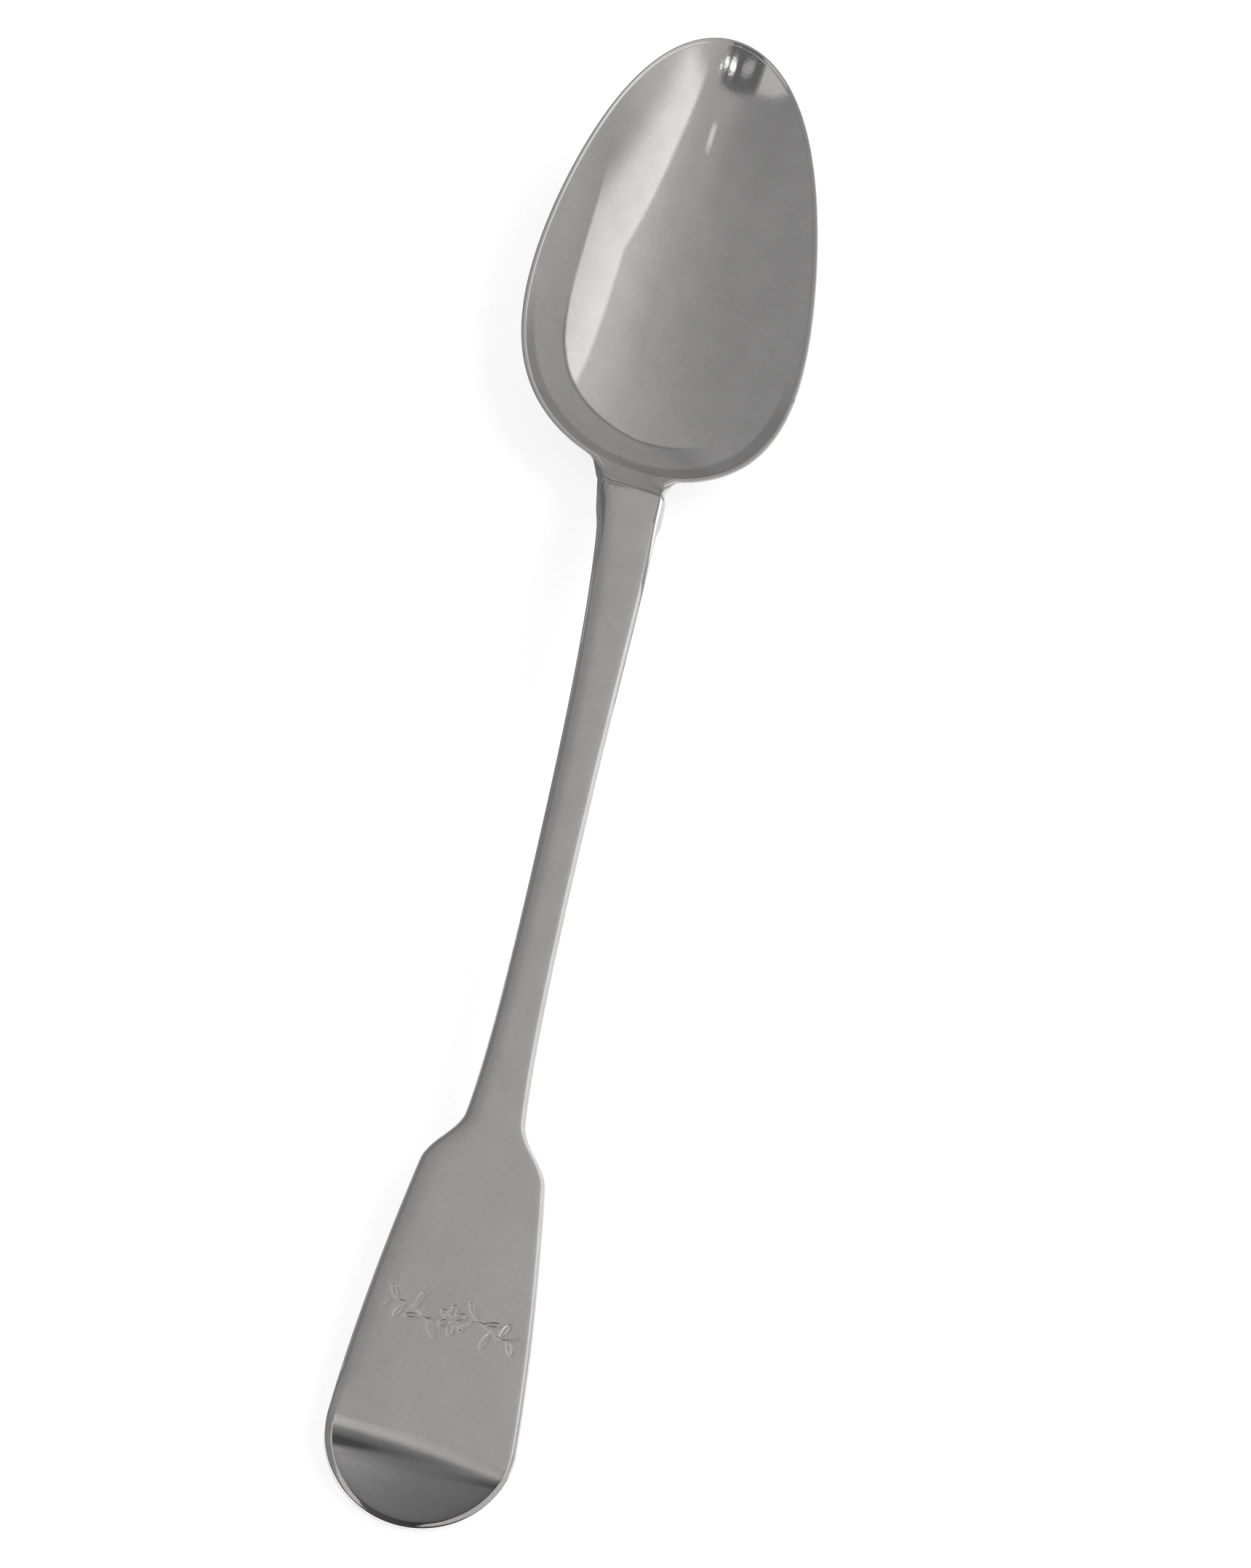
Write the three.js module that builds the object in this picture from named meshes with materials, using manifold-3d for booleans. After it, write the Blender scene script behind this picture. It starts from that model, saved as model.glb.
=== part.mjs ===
// Serving spoon in the fiddle pattern: a raised bowl scarfed and soldered to a forged stem,
// with a drop applied under the heel of the bowl.
// Millimetres, +Z up. The spoon lies on its back on the plane z = 0. X runs across it and +Y
// towards the tip of the bowl. The origin is the middle of its length, on that plane.

import * as THREE from 'three';
import { LoftGeometry } from 'three/addons/geometries/LoftGeometry.js';
import { mergeVertices } from 'three/addons/utils/BufferGeometryUtils.js';
import Module from 'manifold-3d';

// Overall
const OVERALL_LENGTH = 305;
const BACK_WEAR = 0.25;

// Bowl, measured outside
const BOWL_LENGTH = 102;
const BOWL_WIDTH = 60.4;
const BOWL_DEPTH = 16.3;
const BOWL_WALL = 1.5;
const RIM_WALL = 1.1;
const RIM_CROWN = 0.3;
const RIM_SWEEP = 3.9;
const RIM_RISE = 19.2;

// Stem and fiddle end, widths across the front
const NECK_WIDTH = 14;
const STEM_WIDTH = 7.7;
const SHOULDER_ROOT_WIDTH = 10.8;
const SHOULDER_WIDTH = 22;
const FIDDLE_WIDTH = 31.9;
const FIDDLE_LENGTH = 57.6;
const SHOULDER_LENGTH = 8.6;
const END_ROUND = 14;
const NARROWEST_FROM_END = 112;

// Stem and fiddle end, thickness and side profile
const NECK_THICKNESS = 4.6;
const FIDDLE_THICKNESS = 2.4;
const EDGE_RADIUS = 1.2;
const BACK_EDGE_RADIUS = 1.4;
const FRONT_CROWN = 0.12;
const BACK_CROWN = 1;
const NECK_REACH = 22;
const NECK_LIFT = 18;
const TURN_LENGTH = 15;
const TURN_DROP = 4;
const ARCH_REACH = 135;
const ARCH_LIFT = 15.2;

// Neck: flared root, fins beside it, scarf joint and drop
const FLARE_WIDTH = 21;
const FLARE_DEPTH = 4;
const FLARE_SIDE = 0.1;
const ROOT_LENGTH = 5;
const FIN_LENGTH = 5.5;
const FIN_PROUD = 0.8;
const SCARF_ANGLE = 50;
const SOLDER_FILM = 0.2;
const DROP_REACH = 18;
const DROP_TAIL = 9;
const DROP_WIDTH = 11.5;
const DROP_HEIGHT = 1.6;
const DROP_GAP = 0.3;

// Form factors, without unit
const EGG = 0.2;
const FULLNESS = 0.17;
const DISH_POWER = 0.65;
const DISH_LIP = 0.06;
const NECK_HOLLOW = 0.74;
const NECK_HOLLOW_AT = 0.34;
const STEM_EASE = 0.62;
const SHOULDER_EASE = 0.4;
const SHOULDER_LEAN = 0.13;
const FIDDLE_SWELL = 0.18;
const FIDDLE_SWELL_AT = 0.56;
const DROP_SWELL = 0.55;
const DROP_SWELL_AT = 0.3;
const EDGE_SHARE = 0.5;
const BACK_EDGE_SHARE = 0.28;
const BACK_CROWN_SHARE = 0.18;
const END_FIT = 0.9;
const FLARE_THINNING = 0.5;

// Facets: the stem's counts follow the six curves of its outline, and the blunt ends keep the
// first and last sections of a loft from closing to a point
const BOWL_STATIONS = 44;
const BOWL_COLUMNS = 22;
const BOWL_BLUNT_END = 0.35;
const STEM_STATIONS = [8, 24, 12, 12, 14, 14];
const END_BLUNT_WIDTH = 0.5;
const EDGE_STEPS = 3;
const DROP_STATIONS = 22;
const DROP_COLUMNS = 10;
const CURVE_SAMPLES = 400;
const MERGE_DISTANCE = 1e-4;
const SEARCH_TOLERANCE = 1e-7;

// Derived places
const TIP_Y = OVERALL_LENGTH / 2;
const END_Y = -OVERALL_LENGTH / 2;
const HEEL_Y = TIP_Y - BOWL_LENGTH;
const BOWL_MIDDLE_Y = TIP_Y - BOWL_LENGTH / 2;
const HANDLE_LENGTH = OVERALL_LENGTH - BOWL_LENGTH;
const QUARTER_TURN = Math.PI / 2;
const END_STOP = Math.acos(END_BLUNT_WIDTH / FIDDLE_WIDTH) / QUARTER_TURN;

const wasm = await Module();
wasm.setup();

function toSolid(geometry) {
  const plain = new THREE.BufferGeometry();
  plain.setAttribute('position', geometry.getAttribute('position'));
  plain.setIndex(geometry.getIndex());
  const merged = mergeVertices(plain, MERGE_DISTANCE);
  const mesh = new wasm.Mesh({
    numProp: 3,
    vertProperties: new Float32Array(merged.attributes.position.array),
    triVerts: new Uint32Array(merged.index.array),
  });
  return new wasm.Manifold(mesh);
}

function toGeometry(solid) {
  const mesh = solid.getMesh();
  const geometry = new THREE.BufferGeometry();
  geometry.setAttribute('position', new THREE.BufferAttribute(mesh.vertProperties, 3));
  geometry.setIndex(new THREE.BufferAttribute(mesh.triVerts, 1));
  geometry.computeVertexNormals();
  return geometry;
}

// The bowl's outline is an egg: half its width at c, from -1 at the heel to 1 at the tip.
function eggOutline(c) {
  return Math.sqrt(Math.max(0, 1 - c * c)) * (1 - EGG * c + FULLNESS * c * c);
}

// Evenly spaced places from the heel, -1, to the tip, 1.
const PLACES = Array.from({ length: CURVE_SAMPLES + 1 }, (_, i) => 2 * i / CURVE_SAMPLES - 1);
const EGG_WIDEST = Math.max(...PLACES.map(eggOutline));

// The dish falls from 0 at the rim to 1 at the bottom, steep at the rim and round below.
function dishShare(u) {
  const lip = DISH_LIP ** DISH_POWER;
  return ((u + DISH_LIP) ** DISH_POWER - lip) / ((1 + DISH_LIP) ** DISH_POWER - lip);
}

// The rim seen from the side sweeps up to the tip. The worn back of the bowl touches z = 0.
function rimCurve(c) {
  return RIM_SWEEP * c * c + RIM_RISE / 2 * c;
}

function keelCurve(c) {
  return rimCurve(c) - BOWL_DEPTH * dishShare(1 - c * c);
}

const RIM_MIDDLE_Z = -Math.min(...PLACES.map(keelCurve)) - BACK_WEAR;

function rimHeight(y) {
  return RIM_MIDDLE_Z + rimCurve((y - BOWL_MIDDLE_Y) / (BOWL_LENGTH / 2));
}

// A dish of the bowl's form, grown or shrunk at the rim and at the bottom.
function dishPoint(c, across, rimGrow, depthGrow) {
  const halfLength = BOWL_LENGTH / 2 + rimGrow;
  const halfWidth = (BOWL_WIDTH / 2 + rimGrow) * eggOutline(c) / EGG_WIDEST;
  const y = BOWL_MIDDLE_Y + halfLength * c;
  const share = dishShare((1 - c * c) * (1 - across * across));
  const z = rimHeight(y) - (BOWL_DEPTH + depthGrow) * share;
  return new THREE.Vector3(halfWidth * across, y, z);
}

// A closed body that fills the dish up to its rim, with a lid raised by the given height.
function dishBody(rimGrow, depthGrow, lidRise, floor) {
  const sections = [];
  for (let i = 0; i <= BOWL_STATIONS; i++) {
    const c = -Math.cos(Math.PI * (i + BOWL_BLUNT_END) / (BOWL_STATIONS + 2 * BOWL_BLUNT_END));
    const section = [];
    for (let j = 0; j <= BOWL_COLUMNS; j++) {
      const across = Math.sin(QUARTER_TURN * (2 * j / BOWL_COLUMNS - 1));
      const point = dishPoint(c, across, rimGrow, depthGrow);
      point.z = Math.max(floor, point.z);
      section.push(point);
    }
    for (let j = BOWL_COLUMNS; j >= 0; j -= BOWL_COLUMNS / 2) {
      const point = section[j].clone();
      point.z = rimHeight(point.y) + lidRise;
      section.push(point);
    }
    sections.push(section.reverse());
  }
  return toSolid(new LoftGeometry(sections, { capStart: true, capEnd: true }));
}

// The stem's half outline from the heel of the bowl to the end, as distance and half width.
function stemOutline() {
  const narrowest = HANDLE_LENGTH - NARROWEST_FROM_END;
  const corner = HANDLE_LENGTH - FIDDLE_LENGTH;
  const shoulderRoot = corner - SHOULDER_LENGTH;
  const roundStart = HANDLE_LENGTH - END_ROUND;
  const neck = NECK_WIDTH / 2;
  const stem = STEM_WIDTH / 2;
  const root = SHOULDER_ROOT_WIDTH / 2;
  const shoulder = SHOULDER_WIDTH / 2;
  const fiddle = FIDDLE_WIDTH / 2;
  const path = new THREE.Path();
  path.moveTo(-FLARE_DEPTH, FLARE_WIDTH / 2);
  path.quadraticCurveTo(0, neck, ROOT_LENGTH, neck);
  path.bezierCurveTo(
    narrowest * NECK_HOLLOW_AT, neck * NECK_HOLLOW,
    narrowest * STEM_EASE, stem,
    narrowest, stem,
  );
  path.bezierCurveTo(
    (narrowest + shoulderRoot) / 2, stem,
    shoulderRoot - SHOULDER_LENGTH, root - SHOULDER_LENGTH * SHOULDER_LEAN,
    shoulderRoot, root,
  );
  path.bezierCurveTo(
    shoulderRoot + SHOULDER_LENGTH * SHOULDER_EASE, root + SHOULDER_LENGTH * SHOULDER_LEAN,
    corner - SHOULDER_LENGTH * SHOULDER_EASE, shoulder - SHOULDER_LENGTH * SHOULDER_LEAN,
    corner, shoulder,
  );
  path.quadraticCurveTo(
    THREE.MathUtils.lerp(corner, roundStart, FIDDLE_SWELL_AT),
    THREE.MathUtils.lerp(fiddle, shoulder, FIDDLE_SWELL),
    roundStart, fiddle,
  );
  path.absellipse(roundStart, 0, END_ROUND, fiddle, QUARTER_TURN, 0, true);
  return path;
}

// The front of the stem seen from the side: it rises from the heel, arches over and falls to
// the fiddle end, whose last stretch is turned down.
const HEEL_Z = rimHeight(HEEL_Y);
const END_Z = FIDDLE_THICKNESS - BACK_WEAR;
const TURN_Y = END_Y + TURN_LENGTH;
const TURN_Z = END_Z + TURN_DROP;
const ARCH = new THREE.CubicBezierCurve(
  new THREE.Vector2(HEEL_Y, HEEL_Z),
  new THREE.Vector2(HEEL_Y - NECK_REACH, HEEL_Z + NECK_LIFT),
  new THREE.Vector2(TURN_Y + ARCH_REACH, TURN_Z + ARCH_LIFT),
  new THREE.Vector2(TURN_Y, TURN_Z),
);

function archHeight(y) {
  let near = 0;
  let far = 1;
  while (far - near > SEARCH_TOLERANCE) {
    const middle = (near + far) / 2;
    if (ARCH.getPoint(middle).x > y) {
      near = middle;
    } else {
      far = middle;
    }
  }
  return ARCH.getPoint(near).y;
}

function frontHeight(y) {
  if (y >= HEEL_Y) {
    return rimHeight(y);
  }
  if (y >= TURN_Y) {
    return archHeight(y);
  }
  return TURN_Z - TURN_DROP * (TURN_Y - y) / TURN_LENGTH;
}

function stemThickness(distance) {
  const taper = HANDLE_LENGTH - FIDDLE_LENGTH - SHOULDER_LENGTH;
  const share = THREE.MathUtils.clamp(distance / taper, 0, 1);
  return THREE.MathUtils.lerp(NECK_THICKNESS, FIDDLE_THICKNESS, share);
}

// The fins stand out at the back edge, just past the root, and end in a short slope.
function finProud(distance) {
  const start = ROOT_LENGTH - FIN_LENGTH / 2;
  const end = ROOT_LENGTH + FIN_LENGTH;
  const rise = THREE.MathUtils.smoothstep(distance, start, start + FIN_LENGTH);
  const fall = THREE.MathUtils.smoothstep(distance, end, end + FIN_LENGTH / 2);
  return FIN_PROUD * (rise - fall);
}

// One closed section of the stem: a nearly flat front with round edges, and a crowned back.
function stemSection(distance, halfWidth, slope, grow) {
  const y = HEEL_Y - distance;
  const front = frontHeight(y);
  const thickness = stemThickness(distance) + grow;
  const slant = 1 / Math.hypot(1, slope);
  const flare = THREE.MathUtils.clamp((ROOT_LENGTH - distance) / (ROOT_LENGTH + FLARE_DEPTH), 0, 1);
  const thinning = THREE.MathUtils.lerp(1, FLARE_THINNING, flare);
  const edge = Math.min(EDGE_RADIUS, thickness * EDGE_SHARE) * thinning;
  const fit = Math.min(1, END_FIT * halfWidth * slant / edge);
  const half = [];
  for (let k = EDGE_STEPS; k >= 0; k--) {
    const angle = QUARTER_TURN * k / EDGE_STEPS;
    const inset = edge * (1 - Math.cos(angle)) * fit;
    const drop = edge - Math.sqrt(edge ** 2 - (edge - inset) ** 2);
    half.push([halfWidth - inset / slant, front - drop]);
  }
  const backWidth = halfWidth + finProud(distance) + grow;
  const backEdge = Math.min(BACK_EDGE_RADIUS, thickness * BACK_EDGE_SHARE) * thinning;
  const plainCrown = Math.min(BACK_CROWN, thickness * BACK_CROWN_SHARE);
  const backCrown = THREE.MathUtils.lerp(plainCrown, thickness - edge - backEdge - FLARE_SIDE, flare);
  const backFit = Math.min(1, END_FIT * halfWidth * slant / backEdge);
  const backFloor = front - thickness;
  for (let k = 0; k <= EDGE_STEPS; k++) {
    const angle = QUARTER_TURN * k / EDGE_STEPS;
    const inset = backEdge * (1 - Math.cos(angle)) * backFit;
    const lift = backEdge * (1 - Math.sin(angle)) + backCrown;
    half.push([backWidth - inset / slant, Math.max(0, backFloor + lift)]);
  }
  const inner = half[0];
  const ring = [[0, inner[1] + FRONT_CROWN * fit]];
  for (const [x, z] of half) {
    ring.push([-x, z]);
  }
  ring.push([0, Math.max(0, backFloor)]);
  for (const [x, z] of half.toReversed()) {
    ring.push([x, z]);
  }
  return ring.map(([x, z]) => new THREE.Vector3(x, y, z));
}

function stemBody(grow) {
  const sections = [];
  stemOutline().curves.forEach((curve, index) => {
    const count = STEM_STATIONS[index];
    const stop = index === STEM_STATIONS.length - 1 ? END_STOP : 1;
    for (let i = index === 0 ? 0 : 1; i <= count; i++) {
      const t = Math.min(i / count, stop);
      const point = curve.getPoint(t);
      const tangent = curve.getTangent(t);
      sections.push(stemSection(point.x, point.y, tangent.y / tangent.x, grow));
    }
  });
  return toSolid(new LoftGeometry(sections, { capStart: true, capEnd: true }));
}

// The back of the stem at its middle, run on from the heel in a straight line to the bowl's back.
function backLine(y) {
  if (y <= HEEL_Y) {
    return frontHeight(y) - stemThickness(HEEL_Y - y);
  }
  const reachY = HEEL_Y + DROP_REACH;
  const reachZ = RIM_MIDDLE_Z + keelCurve((reachY - BOWL_MIDDLE_Y) / (BOWL_LENGTH / 2));
  return THREE.MathUtils.lerp(HEEL_Z - NECK_THICKNESS, reachZ, (y - HEEL_Y) / DROP_REACH);
}

// The drop: a tear along the back line, pointed on the stem and round on the bowl. It is made
// tall enough to be cut back by the stem and the bowl that it is fitted to.
function dropBody() {
  const length = DROP_TAIL + DROP_REACH;
  const radius = DROP_WIDTH / 2;
  const outline = new THREE.Path();
  outline.moveTo(0, 0);
  outline.bezierCurveTo(0, radius * DROP_SWELL, length * DROP_SWELL_AT, radius, length - radius, radius);
  outline.absellipse(length - radius, 0, radius, radius, QUARTER_TURN, 0, true);
  const sections = [];
  outline.getSpacedPoints(DROP_STATIONS).slice(1, -1).forEach((point) => {
    const y = HEEL_Y - DROP_TAIL + point.x;
    const z = backLine(y);
    const depth = DROP_HEIGHT * Math.sqrt(point.y / radius);
    const section = [];
    for (let k = 0; k <= DROP_COLUMNS; k++) {
      const angle = Math.PI * k / DROP_COLUMNS;
      section.push(new THREE.Vector3(point.y * Math.cos(angle), y, z - depth * Math.sin(angle)));
    }
    section.push(new THREE.Vector3(-point.y, y, z + NECK_THICKNESS / 2));
    section.push(new THREE.Vector3(point.y, y, z + NECK_THICKNESS / 2));
    sections.push(section);
  });
  return toSolid(new LoftGeometry(sections, { capStart: true, capEnd: true }));
}

// The scarf plane starts on the front of the neck and falls towards the bowl.
function scarfPlane() {
  const angle = THREE.MathUtils.degToRad(SCARF_ANGLE);
  const y = HEEL_Y - ROOT_LENGTH;
  const normal = [0, Math.sin(angle), Math.cos(angle)];
  return { normal, offset: normal[1] * y + normal[2] * frontHeight(y) };
}

const scarf = scarfPlane();
const scarfBack = scarf.normal.map((value) => -value);
const rawStem = stemBody(0);
const cavity = dishBody(-RIM_WALL, -BOWL_WALL, 2 * BOWL_DEPTH, -BOWL_DEPTH);
const bowlBack = dishBody(0, 0, RIM_CROWN, 0);

const root = rawStem.trimByPlane(scarf.normal, scarf.offset + SOLDER_FILM / 2);
const bowlSolid = bowlBack.add(root).subtract(cavity);
const stemSolid = rawStem.trimByPlane(scarfBack, -scarf.offset + SOLDER_FILM / 2);
const solderSolid = rawStem
  .trimByPlane(scarf.normal, scarf.offset - SOLDER_FILM / 2)
  .trimByPlane(scarfBack, -scarf.offset - SOLDER_FILM / 2);
const dropSolid = dropBody()
  .subtract(dishBody(DROP_GAP, DROP_GAP, RIM_CROWN, -BOWL_DEPTH))
  .subtract(stemBody(DROP_GAP));

function silver(colour, roughness) {
  return new THREE.MeshStandardMaterial({ color: colour, roughness, metalness: 1 });
}

const spoon = new THREE.Group();

function addPiece(name, solid, material) {
  const mesh = new THREE.Mesh(toGeometry(solid), material);
  mesh.name = name;
  spoon.add(mesh);
}

addPiece('bowl', bowlSolid, silver(0xc9c7c3, 0.22));
addPiece('stem', stemSolid, silver(0xc6c4c0, 0.25));
addPiece('neck_solder', solderSolid, silver(0xa9a69f, 0.4));
addPiece('heel_drop', dropSolid, silver(0xc4c2be, 0.28));

export default spoon;
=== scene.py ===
"""A fiddle-pattern serving spoon in old silver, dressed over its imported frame.

Metres, +Z up. The spoon lies on its back on z = 0, with +Y towards the tip of its bowl. It is
modelled in one, as it looks when it is finished, and then cut at the scarf in its neck into the
bowl, the solder and the stem.
"""
import math

import bmesh
import bpy
from mathutils import Matrix, Vector
from mathutils.geometry import interpolate_bezier
from mathutils.kdtree import KDTree


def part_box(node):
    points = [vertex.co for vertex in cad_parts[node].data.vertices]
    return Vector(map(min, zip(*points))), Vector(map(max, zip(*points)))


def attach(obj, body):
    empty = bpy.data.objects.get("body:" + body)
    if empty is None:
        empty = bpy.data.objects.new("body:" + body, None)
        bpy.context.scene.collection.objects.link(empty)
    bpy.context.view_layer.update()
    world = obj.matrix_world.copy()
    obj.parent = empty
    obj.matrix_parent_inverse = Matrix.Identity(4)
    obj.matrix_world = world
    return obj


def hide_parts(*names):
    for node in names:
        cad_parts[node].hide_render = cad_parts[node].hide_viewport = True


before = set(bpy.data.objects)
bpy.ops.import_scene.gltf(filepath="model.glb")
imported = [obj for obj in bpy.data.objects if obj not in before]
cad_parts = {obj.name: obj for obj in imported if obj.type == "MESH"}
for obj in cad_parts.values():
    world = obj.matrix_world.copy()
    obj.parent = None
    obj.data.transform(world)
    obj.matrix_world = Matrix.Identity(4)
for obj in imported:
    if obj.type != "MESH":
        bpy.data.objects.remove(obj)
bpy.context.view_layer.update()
bowl_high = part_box("bowl")[1]
stem_low, stem_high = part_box("stem")

MM = 0.001

# How near a place counts as the same place
TINY = 1e-6
CLOSE = 1e-5
RING_CLOSE = 1e-4

# Sizes of the bowl
BOWL_LENGTH = 102 * MM
BOWL_DEPTH = 16.3 * MM
HOLLOW_DEPTH = 10.6 * MM
HOLLOW_LEAN = 0.25
HOLLOW_FULLNESS = 0.05
RIM_WALL = 1.1 * MM
RIM_CROWN = 0.3 * MM
RIM_SWEEP = 3.9 * MM
RIM_RISE = 19.2 * MM
INNER_LIP_WALL = 0.06 * MM
INNER_LIP_TURN = 0.35 * MM
INNER_LIP_TOP = 0.16 * MM
OUTER_LIP_WALL = 0.2 * MM
OUTER_LIP_TURN = -0.3 * MM
OUTER_LIP_TOP = 0.1 * MM
EGG = 0.2
FULLNESS = 0.17
DISH_POWER = 0.65
DISH_LIP = 0.06
BOWL_SEGMENTS = 112
BOWL_RINGS = 56
ROOT_SEGMENTS = 8
ROOT_RINGS = 6
ROOT_BREADTH = 1.3
ROOT_FACING = 0.3
ROOT_CUTS = 2

# Sizes of the stem, as distances from the heel of the bowl and half widths
STEM_LENGTH = bowl_high.y - BOWL_LENGTH - stem_low.y
FLARE_DEPTH = 4 * MM
ROOT_START = 1.2 * MM
ROOT_LENGTH = 5 * MM
NARROWEST_AT = STEM_LENGTH - 112 * MM
FIDDLE_AT = STEM_LENGTH - 57.6 * MM
SHOULDER_LENGTH = 8.6 * MM
END_ROUND = 14 * MM
FLARE_HALF = 10.5 * MM
NECK_HALF = 6.65 * MM
STEM_HALF = 3.85 * MM
SHOULDER_ROOT_HALF = 5.4 * MM
SHOULDER_HALF = 11 * MM
FIDDLE_HALF = stem_high.x
NECK_THICKNESS = 4.6 * MM
FIDDLE_THICKNESS = 2.4 * MM

# How the outline of the stem bends, as shares of the sizes above, and in how many steps
TAPER_START = 0.34
TAPER_WIDTH = 0.74
TAPER_END = 0.62
SHOULDER_LEAN = 0.13
SHOULDER_EASE = 0.4
SWELL_AT = 0.56
SWELL_SHARE = 0.18
FLARE_STEPS = 12
TAPER_STEPS = 40
WAIST_STEPS = 22
SHOULDER_STEPS = 14
FIDDLE_STEPS = 26
FINE_STEPS = 3
FINE_AT_END = 8 * MM
END_STEPS = 28
END_CUTS = 2

# Edges, crowns and fins of the stem
EDGE_WIDTH = 1.12 * MM
EDGE_PROFILE = ((1, 0), (0.92, 0.025), (0.3, 0.21), (0.14, 0.31), (0.04, 0.5), (0, 0.85))
EDGE_STEPS = len(EDGE_PROFILE) - 1
NECK_EDGE = 2.3
NECK_EDGE_END = 20 * MM
NECK_EDGE_FADE = 14 * MM
WORN_WIDTH = 2 * MM
WORN_SPREAD = 0.16
WORN_DEPTH = 0.55 * MM
WORN_FROM = 6 * MM
WORN_FULL = 14 * MM
WORN_FADE = 9 * MM
WORN_END = 1 * MM
BACK_EDGE = 1.2 * MM
FRONT_CROWN = 0.12 * MM
BACK_CROWN = 0.83 * MM
FACE_COLUMNS = 6
FIN_LENGTH = 5.5 * MM
FIN_END = 12.5 * MM
FIN_LEFT = 0.4 * MM
FIN_RIGHT = 0.75 * MM
FIN_SLANT = ((0.6 * MM, 0.2), (1.05 * MM, 0.25), (1.8 * MM, 0.3), (2.3 * MM, 0.25))

# Arch of the stem seen from the side
NECK_REACH = 22 * MM
NECK_LIFT = 18 * MM
ARCH_REACH = 135 * MM
ARCH_LIFT = 15.2 * MM
ARCH_STEPS = 2000
TURN_LENGTH = 15 * MM
TURN_DROP = 4 * MM
END_SETTLE = 0.25 * MM
NECK_CREASE = 1.1 * MM
NECK_CREASE_LEFT = 0.75
NECK_CREASE_AT = 5.9 * MM
NECK_CREASE_END = 14 * MM
NECK_RAISE = 0.36 * MM
NECK_SETTLED = 60 * MM
FOLD_FROM_END = 9.3 * MM
FOLD_LEFT = 7 * MM
FOLD_RIGHT = 3 * MM
FOLD_SLOPE = 0.75
FOLD_SLOPE_RIGHT = 0.62
FOLD_POWER = 3
FOLD_SKEW = 0.6 * MM

# Formers that pieces are drawn over: their rows, and the room they leave around a piece
FORMER_ROWS = 64
FORMER_SPREAD = 1.3
FORMER_END = 2 * MM
FORMER_TOP = 6 * MM

# Joint in the neck
SCARF_ANGLE = math.radians(50)
SOLDER_FILM = 0.07 * MM

# Drop under the heel
DROP_REACH = 18 * MM
DROP_TAIL = 9 * MM
DROP_WIDTH = 11.5 * MM
DROP_HEIGHT = 1.6 * MM
DROP_UPWARD = 2.4
DROP_BLUNTNESS = 0.8
DROP_POINT = 0.3
DROP_FULL_AT = 0.72
DROP_SEGMENTS = 48
DROP_RINGS = 32
DROP_ASIDE = 1

# How far apart faces may turn and still look smooth, and how far a front face looks up
SMOOTH_ANGLE = math.radians(40)
FRONT_FACING = 0.5
FLAT_FACING = 0.9

# Places
TIP_Y = bowl_high.y
END_Y = stem_low.y
HEEL_Y = TIP_Y - BOWL_LENGTH
BOWL_MIDDLE_Y = TIP_Y - BOWL_LENGTH / 2


def only(piece):
    """Make a piece the one that is selected and active."""
    bpy.ops.object.select_all(action="DESELECT")
    piece.select_set(True)
    bpy.context.view_layer.objects.active = piece


def begin(name):
    """Name the primitive that was just added, put its place into its mesh and open it for editing."""
    piece = bpy.context.object
    piece.name = name
    bpy.ops.object.transform_apply(location=True, rotation=True, scale=True)
    edit(piece)
    return piece


def edit(piece):
    only(piece)
    bpy.ops.object.mode_set(mode="EDIT")


def done():
    bpy.ops.object.mode_set(mode="OBJECT")


def open_mesh():
    return bmesh.from_edit_mesh(bpy.context.object.data)


def select(items):
    """Select these corners, edges or faces and nothing else."""
    bpy.ops.mesh.select_all(action="DESELECT")
    for item in items:
        item.select_set(True)
    open_mesh().select_flush(True)


def pick(test):
    """Select the corners at the places that pass a test."""
    select([corner for corner in open_mesh().verts if test(corner.co)])


def apply(piece, kind, **settings):
    """Add a modifier to a piece and apply it."""
    only(piece)
    modifier = piece.modifiers.new(kind.lower(), kind)
    for key, value in settings.items():
        setattr(modifier, key, value)
    bpy.ops.object.modifier_apply(modifier=modifier.name)


def bend(piece, low, high, place):
    """Draw a piece over a former: a lattice of many rows along Y, whose points go where place says."""
    bpy.ops.object.add(type="LATTICE", location=(low + high) / 2)
    former = bpy.context.object
    former.scale = high - low
    former.data.points_u = 2
    former.data.points_v = FORMER_ROWS
    former.data.points_w = 2
    former.data.interpolation_type_u = "KEY_LINEAR"
    former.data.interpolation_type_v = "KEY_BSPLINE"
    former.data.interpolation_type_w = "KEY_LINEAR"
    bpy.context.view_layer.update()
    for point in former.data.points:
        point.co_deform = former.matrix_world.inverted() @ place(former.matrix_world @ point.co)
    apply(piece, "LATTICE", object=former)
    bpy.data.objects.remove(former)


def smooth_step(value, low, high):
    share = min(1, max(0, (value - low) / (high - low)))
    return share * share * (3 - 2 * share)


# Bowl


def egg_taper(c):
    return 1 - EGG * c + FULLNESS * c * c


def rim_curve(c):
    return RIM_SWEEP * c * c + RIM_RISE / 2 * c


def dish_share(u):
    lip = DISH_LIP ** DISH_POWER
    return ((u + DISH_LIP) ** DISH_POWER - lip) / ((1 + DISH_LIP) ** DISH_POWER - lip)


def hollow_share(u):
    return u * (1 + HOLLOW_FULLNESS * (1 - u))


# The widest place of the egg, looked for from heel to tip in hundredths of a radian
EGG_WIDEST = max(math.cos(a / 100) * egg_taper(math.sin(a / 100)) for a in range(-157, 158))
RIM_MIDDLE_Z = bowl_high.z - RIM_CROWN - rim_curve(1)


def rim_height(y):
    return RIM_MIDDLE_Z + rim_curve((y - BOWL_MIDDLE_Y) / (BOWL_LENGTH / 2))


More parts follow.
